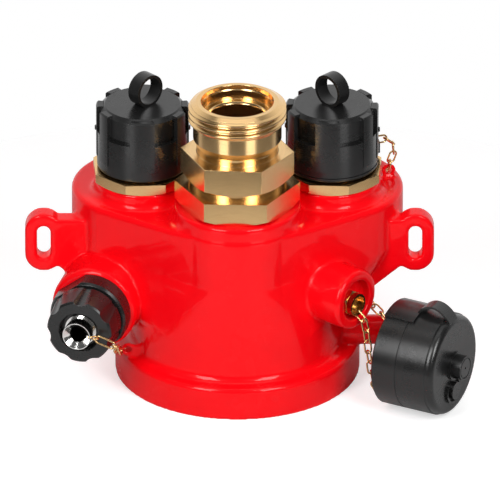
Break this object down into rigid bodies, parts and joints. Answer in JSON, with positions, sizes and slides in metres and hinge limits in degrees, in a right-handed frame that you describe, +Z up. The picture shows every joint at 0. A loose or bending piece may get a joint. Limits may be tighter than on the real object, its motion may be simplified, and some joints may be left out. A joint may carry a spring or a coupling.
{
  "type": "fire department connection",
  "caption": "Cast fire department connection with threaded top outlets, screwed caps, a test valve and a ball drip.",
  "frame": {"origin": "centre of the base's lower face", "axes": "+Z up along the base socket and the outlets, -Y to the front, +X to the right seen from the front"},
  "size_m": [0.3603, 0.2161, 0.2524],
  "materials": {
    "red_enamel": "gloss",
    "brass": "satin",
    "black_plastic": "gloss",
    "rubber": "matte",
    "nickel": "polished",
    "black_steel": "satin"
  },
  "bodies": {
    "casting": {"body": "red_enamel", "left_nipple": "brass", "right_nipple": "brass", "centre_nipple": "brass", "left_nipple_seal": "rubber", "right_nipple_seal": "rubber", "centre_nipple_seal": "rubber", "left_flap_pin": "nickel", "right_flap_pin": "nickel", "centre_flap_pin": "nickel", "hose_adaptor": "brass", "adaptor_seal": "rubber", "valve_bonnet": "black_plastic", "valve_seal": "rubber", "test_barrel": "nickel", "wheel_clip": "nickel", "barrel_eye": "brass", "drip_fitting": "brass", "drip_pin": "nickel", "loose_cap": "black_plastic", "loose_cap_seal": "rubber", "loose_cap_eye": "brass", "cap_chain": "brass", "wheel_chain": "brass", "drip_chain": "brass", "loose_cap_chain": "brass"},
    "left_cap_carrier": {"left_cap_seal": "rubber"},
    "left_cap_screw": {"left_cap": "black_plastic"},
    "right_cap_carrier": {"right_cap_seal": "rubber", "cap_swivel": "black_steel"},
    "right_cap_screw": {"right_cap": "black_plastic"},
    "left_check_flap": {"left_flap": "brass"},
    "right_check_flap": {"right_flap": "brass"},
    "centre_check_flap": {"centre_flap": "brass"},
    "wheel": {"hand_wheel": "black_plastic"},
    "sleeve": {"valve_sleeve": "brass"},
    "ball": {"drip_ball": "nickel"}
  },
  "joints": [
    {"name": "left_cap_lift", "type": "slide", "parent": "casting", "child": "left_cap_carrier", "axis": [0, 0, 1], "range_m": [0, 0.012]},
    {"name": "left_cap_turn", "type": "hinge", "parent": "left_cap_carrier", "child": "left_cap_screw", "pos_m": [-0.0757, 0.0154, 0.1726], "axis": [0, 0, 1], "range_deg": [0, 1080]},
    {"name": "right_cap_lift", "type": "slide", "parent": "casting", "child": "right_cap_carrier", "axis": [0, 0, 1], "range_m": [0, 0.012], "deforming": ["cap_chain"]},
    {"name": "right_cap_turn", "type": "hinge", "parent": "right_cap_carrier", "child": "right_cap_screw", "pos_m": [0.0757, 0.0154, 0.1726], "axis": [0, 0, 1], "range_deg": [0, 1080]},
    {"name": "left_flap_swing", "type": "hinge", "parent": "casting", "child": "left_check_flap", "pos_m": [-0.0757, 0.0434, 0.1332], "axis": [1, 0, 0], "range_deg": [0, 55]},
    {"name": "right_flap_swing", "type": "hinge", "parent": "casting", "child": "right_check_flap", "pos_m": [0.0757, 0.0434, 0.1332], "axis": [1, 0, 0], "range_deg": [0, 55]},
    {"name": "centre_flap_swing", "type": "hinge", "parent": "casting", "child": "centre_check_flap", "pos_m": [0, -0.0033, 0.1332], "axis": [1, 0, 0], "range_deg": [0, 55]},
    {"name": "hand_wheel_turn", "type": "hinge", "parent": "casting", "child": "wheel", "pos_m": [-0.1153, -0.047, 0.073], "axis": [-0.2588, -0.9659, 0], "range_deg": [0, 540]},
    {"name": "valve_sleeve_slide", "type": "slide", "parent": "casting", "child": "sleeve", "axis": [-0.2588, -0.9659, 0], "range_m": [0, 0.003]},
    {"name": "drip_ball_travel", "type": "slide", "parent": "casting", "child": "ball", "axis": [0.7771, -0.6293, 0], "range_m": [0, 0.003]}
  ],
  "couplings": [
    {"joint": "left_cap_lift", "follows": "left_cap_turn", "m_per_rad": 0.00063662},
    {"joint": "right_cap_lift", "follows": "right_cap_turn", "m_per_rad": 0.00063662},
    {"joint": "valve_sleeve_slide", "follows": "hand_wheel_turn", "m_per_rad": 0.00031831}
  ]
}
